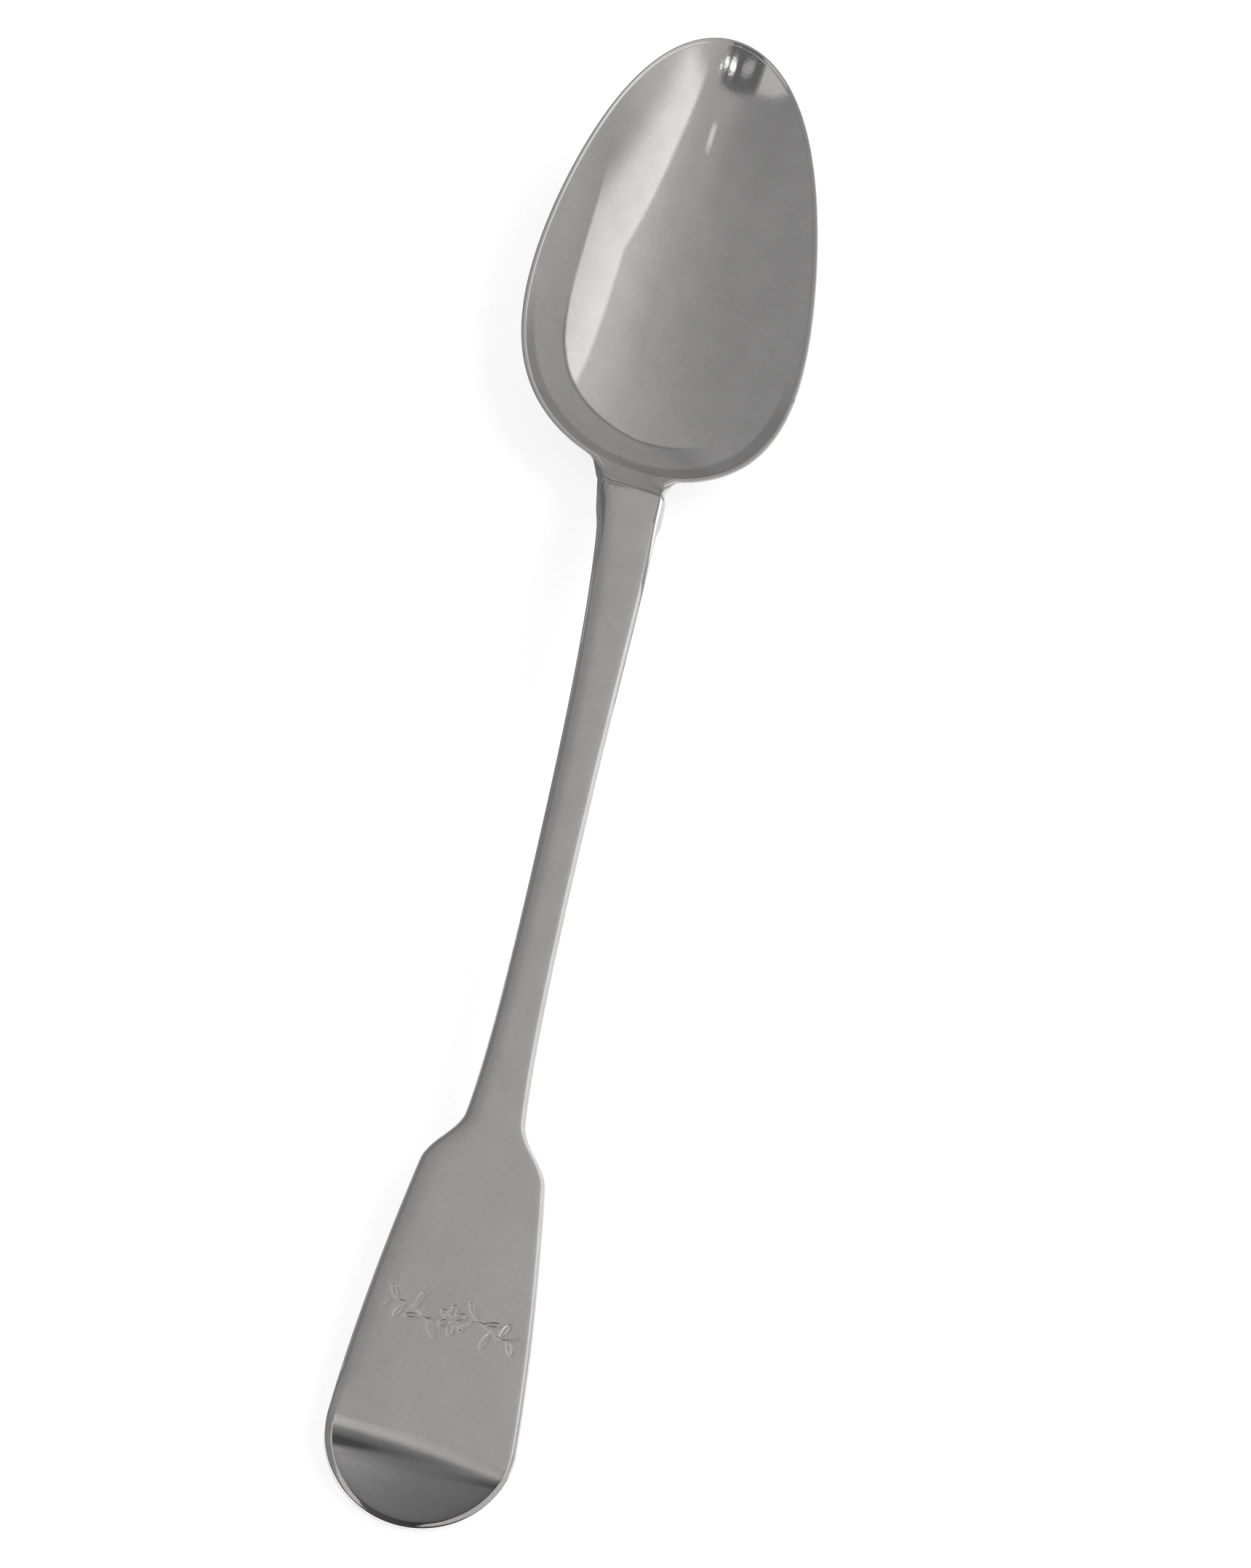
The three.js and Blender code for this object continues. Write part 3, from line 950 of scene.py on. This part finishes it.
# Studio, on a map of the sky: 0 overhead, 1 at the horizon, east to the right, north to the tip
# A pair is a soft border, from where a shape is absent to where it is full
OVERHEAD = 1.0001
ROOM_GREYS = (
    (0, 0.12), (0.15, 0.2), (0.2, 0.265), (0.375, 0.277), (0.45, 0.305), (0.5, 0.34), (0.575, 0.392),
    (0.6, 0.43), (0.65, 0.51), (0.69, 0.56), (1, 0.56))
WALL_GREYS = ((0, 0.21), (0.47, 0.22), (0.55, 0.29), (0.8, 0.345), (0.86, 0.395), (1, 0.37))
NEAR_WALL_LIGHT = 0.49
NEAR_WALL_NORTH = (0.1, -0.12)
SILL_PLACE = (0, 0.15)
SILL_REACH = (0.592, 0.648)
SILL_RISE = 0.25
SILL_RISE_EAST = 0.1
SILL_EDGE = (0.99, 1.01)
SILL_EAST = (-0.2, 0)
LINE_DARKNESS = 0.35
LINE_INSIDE = (1, 1.008)
LINE_OUTSIDE = (1.03, 1.015)
LINE_NORTH = (0.3, 0.5)
LINE_EAST = (-0.1, 0.1)
LOW_EDGE_SLOPE = 0.9
LOW_EDGE_EAST = 0.467
LOW_EDGE = (-0.04, 0.06)
WINDOW_LIGHT = 0.89
WINDOW_LEFT = 0.387
WINDOW_LEAN = 0.6
WINDOW_LEAN_NORTH = 0.13
WINDOW_EDGE = (-0.012, 0.012)
WINDOW_NEAR = (-0.205, -0.165)
WINDOW_FAR = (0.68, 0.6)
CORNER_DARKNESS = 0.14
CORNER_NORTH = (0, -0.2)
CORNER_EAST = (0.05, -0.05)
STREAK_LIGHT = 0.7
STREAK_LEFT = (0.06, 0.072)
STREAK_RIGHT = (0.098, 0.086)
STREAK_NEAR = (-0.165, -0.155)
STREAK_FAR = (-0.12, -0.14)
GROUND_LIGHT = 0.95
HORIZON = (0.005, -0.005)

# Broken shapes that the tip of the bowl mirrors
WEDGE_LIGHT = 0.5
WEDGE_NORTH = -0.208
WEDGE_SLOPE = 0.15
WEDGE_EDGE = (0, 0.004)
WEDGE_LEFT = (-0.25, -0.22)
WEDGE_RIGHT = (-0.06, -0.08)
FIGURE_LIGHT = 0.13
FIGURE_FAR = (-0.196, -0.202)
FIGURE_LEFT = (-0.085, -0.05)
FIGURE_RIGHT = (0.14, 0.1)
STRIP_LIGHT = 0.4
STRIP_PLACE = (0.005, -0.22)
STRIP_REACH = (0.03, 0.006)
STRIP_EDGE = (1.3, 0.7)
SPOT_LIGHT = 1.5
SPOT_FLATNESS = 3
SPOT_EDGE = (1.4, 0.6)
SPOTS = ((0.078, -0.217, 0.016), (0.112, -0.216, 0.012), (0.134, -0.209, 0.006))


def oval(east, north, place, reach):
    """1 on the edge of an oval, less inside it and more outside, and growing with the square."""
    return ((east - place[0]) / reach[0]) ** 2 + ((north - place[1]) / reach[1]) ** 2


def sky_map(tree):
    """The direction of a ray on the map of the sky, as east, north and its rise above the horizon."""
    way = tree.node("ShaderNodeTexCoord", {}, out="Generated")
    east = tree.node("ShaderNodeSeparateXYZ", {}, way, out="X")
    north = tree.node("ShaderNodeSeparateXYZ", {}, way, out="Y")
    height = tree.node("ShaderNodeSeparateXYZ", {}, way, out="Z")
    from_top = height.arc_cosine() / (math.pi / 2)
    stretch = from_top / (OVERHEAD - height * height) ** 0.5
    return east * stretch, north * stretch, height


def window_light(light, east, north):
    """A window on the right, brightest along its left side."""
    left = WINDOW_LEFT - WINDOW_LEAN * (WINDOW_LEAN_NORTH - north).most(0)
    inside = (east - left).rising(*WINDOW_EDGE) * north.rising(*WINDOW_NEAR) * north.rising(*WINDOW_FAR)
    return light.toward(WINDOW_LIGHT - (east - left), inside)


def wall_light(light, wall, east, north):
    """The wall below the window, and a dark line along its sill."""
    wall = wall.toward(NEAR_WALL_LIGHT, north.rising(*NEAR_WALL_NORTH))
    risen = north + SILL_RISE * (SILL_RISE_EAST - east).most(0)
    sill = oval(east, risen, SILL_PLACE, SILL_REACH) ** 0.5
    low_edge = east - LOW_EDGE_SLOPE * north - LOW_EDGE_EAST
    below = (sill.rising(*SILL_EDGE) * east.rising(*SILL_EAST)).most(low_edge.rising(*LOW_EDGE))
    line = sill.rising(*LINE_INSIDE) * sill.rising(*LINE_OUTSIDE)
    line = line * north.rising(*LINE_NORTH) * east.rising(*LINE_EAST)
    return light.toward(wall, below) * (1 - LINE_DARKNESS * line)


def tip_figure(light, east, north):
    """The broken shapes in the tip of the bowl: a dark figure, a pale wedge and small lights."""
    wedge = (WEDGE_NORTH - WEDGE_SLOPE * east - north).rising(*WEDGE_EDGE)
    light = light.toward(WEDGE_LIGHT, wedge * east.rising(*WEDGE_LEFT) * east.rising(*WEDGE_RIGHT))
    figure = north.rising(*FIGURE_FAR) * east.rising(*FIGURE_LEFT) * east.rising(*FIGURE_RIGHT)
    light = light.toward(FIGURE_LIGHT, figure)
    strip = oval(east, north, STRIP_PLACE, STRIP_REACH)
    light = light.toward(STRIP_LIGHT, strip.rising(*STRIP_EDGE))
    for spot_east, spot_north, size in SPOTS:
        spot = oval(east, north, (spot_east, spot_north), (size, size / SPOT_FLATNESS))
        light = light.toward(SPOT_LIGHT, spot.rising(*SPOT_EDGE))
    return light


def add_studio():
    """What the silver mirrors: a grey room that brightens towards a window on the right."""
    world = bpy.data.worlds.new("studio")
    bpy.context.scene.world = world
    tree = Tree(world)
    east, north, height = sky_map(tree)
    room = tree.node("ShaderNodeValToRGB", {"stops": ROOM_GREYS}, (east + 1) / 2)
    wall = tree.node("ShaderNodeValToRGB", {"stops": WALL_GREYS}, (east + 1) / 2)
    light = window_light(room, east, north)
    light = wall_light(light, wall, east, north)
    light = light * (1 - CORNER_DARKNESS * north.rising(*CORNER_NORTH) * east.rising(*CORNER_EAST))
    streak = east.rising(*STREAK_LEFT) * east.rising(*STREAK_RIGHT)
    streak = streak * north.rising(*STREAK_NEAR) * north.rising(*STREAK_FAR)
    light = light.toward(STREAK_LIGHT, streak)
    light = tip_figure(light, east, north)
    light = light.toward(GROUND_LIGHT, height.rising(*HORIZON))
    seen = tree.node("ShaderNodeLightPath", {}, out="Is Camera Ray")
    light = light.toward(1, seen)
    background = tree.node("ShaderNodeBackground", {}, light, 1)
    tree.node("ShaderNodeOutputWorld", {}, background)


# Floor, cards and lamps, the cards' corners in millimetres
WHITE = (1, 1, 1, 1)
FLOOR_SIZE = 40
FLOOR_TONE = (0.9, 0.9, 0.9, 1)
FLOOR_SEEN = 0.85
FLOOR_MIRRORED = 0.45
FADE_START = -0.42
FADE_LENGTH = 0.25
FADE_GREYS = (
    (0, 0.06), (0.12, 0.07), (0.3, 0.11), (0.5, 0.15), (0.6, 0.175), (0.66, 0.22), (0.82, 0.42),
    (0.9, 0.43), (1, 0.38))
FADE_MIDDLE = 1.2
FADE_ACROSS = 4


def add_floor():
    """A pale floor that reads as white, with the spoon's soft shadow on it."""
    bpy.ops.mesh.primitive_plane_add(size=FLOOR_SIZE)
    floor = bpy.context.object
    floor.name = "floor"
    finish = bpy.data.materials.new("floor_white")
    tree = Tree(finish)
    plain = tree.node("ShaderNodeBsdfDiffuse", {}, FLOOR_TONE)
    white = tree.node("ShaderNodeEmission", {}, WHITE, 1)
    seen = tree.node("ShaderNodeLightPath", {}, out="Is Camera Ray")
    mirrored = tree.node("ShaderNodeLightPath", {}, out="Is Glossy Ray")
    through = tree.node("ShaderNodeLightPath", {}, out="Is Transmission Ray")
    share = (FLOOR_SEEN * seen).most(FLOOR_MIRRORED * mirrored).most(FLOOR_MIRRORED * through)
    tree.node("ShaderNodeOutputMaterial", {}, tree.node("ShaderNodeMixShader", {}, share, plain, white))
    floor.data.materials.append(finish)


def add_lamp(place, size, power):
    bpy.ops.object.light_add(type="AREA", location=place)
    lamp = bpy.context.object
    lamp.rotation_euler = (-Vector(place)).to_track_quat("-Z", "Y").to_euler()
    lamp.data.size = size
    lamp.data.energy = power
    lamp.visible_glossy = False


def fading_light(tree):
    """Dark beside the camera: darker away from the handle and to the right."""
    place = tree.node("ShaderNodeTexCoord", {}, out="Object")
    across = tree.node("ShaderNodeSeparateXYZ", {}, place, out="X")
    along = tree.node("ShaderNodeSeparateXYZ", {}, place, out="Y")
    level = tree.node("ShaderNodeValToRGB", {"stops": FADE_GREYS}, (along - FADE_START) / FADE_LENGTH)
    return level * (FADE_MIDDLE - FADE_ACROSS * across)


def plain_light(level):
    return lambda tree: level


def add_card(name, light, *corners):
    """A card beside the spoon that only its reflections show, as bright as light(tree) says."""
    bpy.ops.mesh.primitive_plane_add(size=1)
    card = bpy.context.object
    card.name = name
    for vertex, corner in zip(card.data.vertices, (corners[0], corners[1], corners[3], corners[2])):
        vertex.co = Vector(corner) * MM
    card.visible_camera = False
    card.visible_diffuse = False
    card.visible_shadow = False
    finish = bpy.data.materials.new(name)
    tree = Tree(finish)
    glow = tree.node("ShaderNodeEmission", {}, WHITE, light(tree))
    tree.node("ShaderNodeOutputMaterial", {}, glow)
    card.data.materials.append(finish)


add_studio()
add_floor()
add_card(
    "reflector", plain_light(0.92),
    (120, -170, 0), (120, 45, 0), (120, 45, 90), (120, -170, 90))
add_card(
    "left_flag", plain_light(0.21),
    (-19, -155, 0.5), (-1, 47, 0.5), (-120, 47, 110), (-120, -155, 110))
add_card(
    "bowl_flag", plain_light(0.15),
    (-40, 47, 0.5), (-40, 230, 0.5), (-200, 230, 60), (-200, 47, 60))
add_card(
    "fin_flag", plain_light(0.8),
    (8, 15, 0.4), (110, 15, 0.4), (110, 160, 0.4), (12, 64, 0.4))
# Painted shadow: a dark sheet on the floor under the neck, standing in for the spoon's own shadow there
# as the neck's sides mirror it
add_card(
    "neck_shadow_sheet", plain_light(0.17),
    (-60, 40, 0.4), (3, 40, 0.4), (3, 78, 0.4), (-60, 78, 0.4))
add_card(
    "end_flag", plain_light(0.06),
    (-60, -164, 0.5), (60, -164, 0.5), (60, -260, 60), (-60, -260, 60))
add_card(
    "camera_side", fading_light,
    (-60, -900, 300), (160, -900, 300), (160, -170, 300), (-60, -170, 300))
add_lamp(place=(0.5, 0.3, 0.9), size=0.8, power=14)
add_lamp(place=(-0.6, -0.1, 0.8), size=0.9, power=6)

# Silver, and the painted shade in the bowl on the egg's own scale: 0 in the middle, 1 at the rim
# Painted shade along the inner edge of the bowl at its heel darkens the colour; the pits are real marks
SHADE_BAND_STRENGTH = 0.45
SHADE_BAND_INSIDE = (0.825, 0.87)
SHADE_BAND_OUTSIDE = (0.965, 0.95)
SHADE_BAND_HEEL = (-0.25, -0.6)
PIT_STRENGTH = 0.5
PIT_EDGE = (0.028, 0.016)
PITS_PER_METRE = 42
WARMTH = (1, 0.99, 0.978)
TONE_LOW = 0.94
TONE_HIGH = 1.05
TONE_SHADE_AND_PITS = 0.45
TONE_SPREAD = (0.3, 0.7)
SCRATCHES_ALONG = (0.5, 0.75)
SCRATCHES_ACROSS = (0.6, 0.8)
SCRATCH_DEPTH = 0.6
WEAR_ROUGHNESS = 0.03


def heel_shade_and_pits(tree, place):
    """Painted shade: a darker band along the inner edge of the bowl around its heel, standing in for the
    darker reflection there, and a few small pits.
    """
    across = tree.node("ShaderNodeSeparateXYZ", {}, place, out="X")
    along = tree.node("ShaderNodeSeparateXYZ", {}, place, out="Y")
    along = (along - BOWL_MIDDLE_Y) / (BOWL_LENGTH / 2)
    taper = 1 - EGG * along + FULLNESS * along ** 2
    outward = (across * EGG_WIDEST / bowl_high.x / taper) ** 2 + along ** 2
    shade_band = outward.rising(*SHADE_BAND_INSIDE) * outward.rising(*SHADE_BAND_OUTSIDE) * along.rising(*SHADE_BAND_HEEL)
    cells = tree.node("ShaderNodeTexVoronoi", {}, Vector=place, Scale=PITS_PER_METRE, out="Distance")
    return (SHADE_BAND_STRENGTH * shade_band).most(PIT_STRENGTH * cells.rising(*PIT_EDGE))


def no_shade_or_pits(tree, place):
    return 0


def silver(name, grey, roughness, waves, grain, shade_and_pits=no_shade_or_pits):
    """Old polished silver: faint waves from the hammer, a fine grain of wear and an uneven tone."""
    finish = bpy.data.materials.new(name)
    tree = Tree(finish)
    place = tree.node("ShaderNodeTexCoord", {}, out="Object")

    def noise(scale, detail, stretch=(1, 1, 1)):
        stretched = tree.node("ShaderNodeMapping", {}, place, Scale=stretch)
        return tree.node(
            "ShaderNodeTexNoise", {}, Vector=stretched, Scale=scale, Detail=detail, out="Fac")

    def tint(level):
        return (*(grey * level * part for part in WARMTH), 1)

    def blend(share, a, b):
        return tree.node("ShaderNodeMix", {"data_type": "RGBA"}, Factor=share, A=a, B=b, out="Result")

    swell = noise(scale=55, detail=1)
    wear = noise(scale=1500, detail=3)
    scratch = noise(scale=900, detail=2, stretch=(1, 0.04, 1)).rising(*SCRATCHES_ALONG)
    scratch = scratch + noise(scale=700, detail=2, stretch=(0.05, 1, 1)).rising(*SCRATCHES_ACROSS)
    tone = 0.5 * noise(scale=160, detail=4) + 0.5 * noise(scale=1900, detail=2)
    shade = blend(tone.rising(*TONE_SPREAD), tint(TONE_LOW), tint(TONE_HIGH))
    # The painted shade at the heel and the real pits darken the colour
    shade = blend(shade_and_pits(tree, place), shade, tint(TONE_SHADE_AND_PITS))
    height = swell * waves + wear * grain + scratch * (grain * SCRATCH_DEPTH)
    bump = tree.node("ShaderNodeBump", {}, Strength=1, Distance=MM, Height=height)
    shader = tree.node(
        "ShaderNodeBsdfPrincipled", {}, Base_Color=shade, Metallic=1,
        Roughness=roughness + WEAR_ROUGHNESS * (wear - 0.5), Normal=bump)
    tree.node("ShaderNodeOutputMaterial", {}, shader)
    return finish


bowl.data.materials.append(
    silver("bowl_silver", grey=0.83, roughness=0.045, waves=0.03, grain=0.0012, shade_and_pits=heel_shade_and_pits))
stem.data.materials.append(silver("stem_silver", grey=0.83, roughness=0.07, waves=0.02, grain=0.0016))
solder.data.materials.append(silver("solder_line", grey=0.81, roughness=0.1, waves=0.02, grain=0.0016))
drop.data.materials.append(silver("drop_silver", grey=0.82, roughness=0.1, waves=0.02, grain=0.0016))
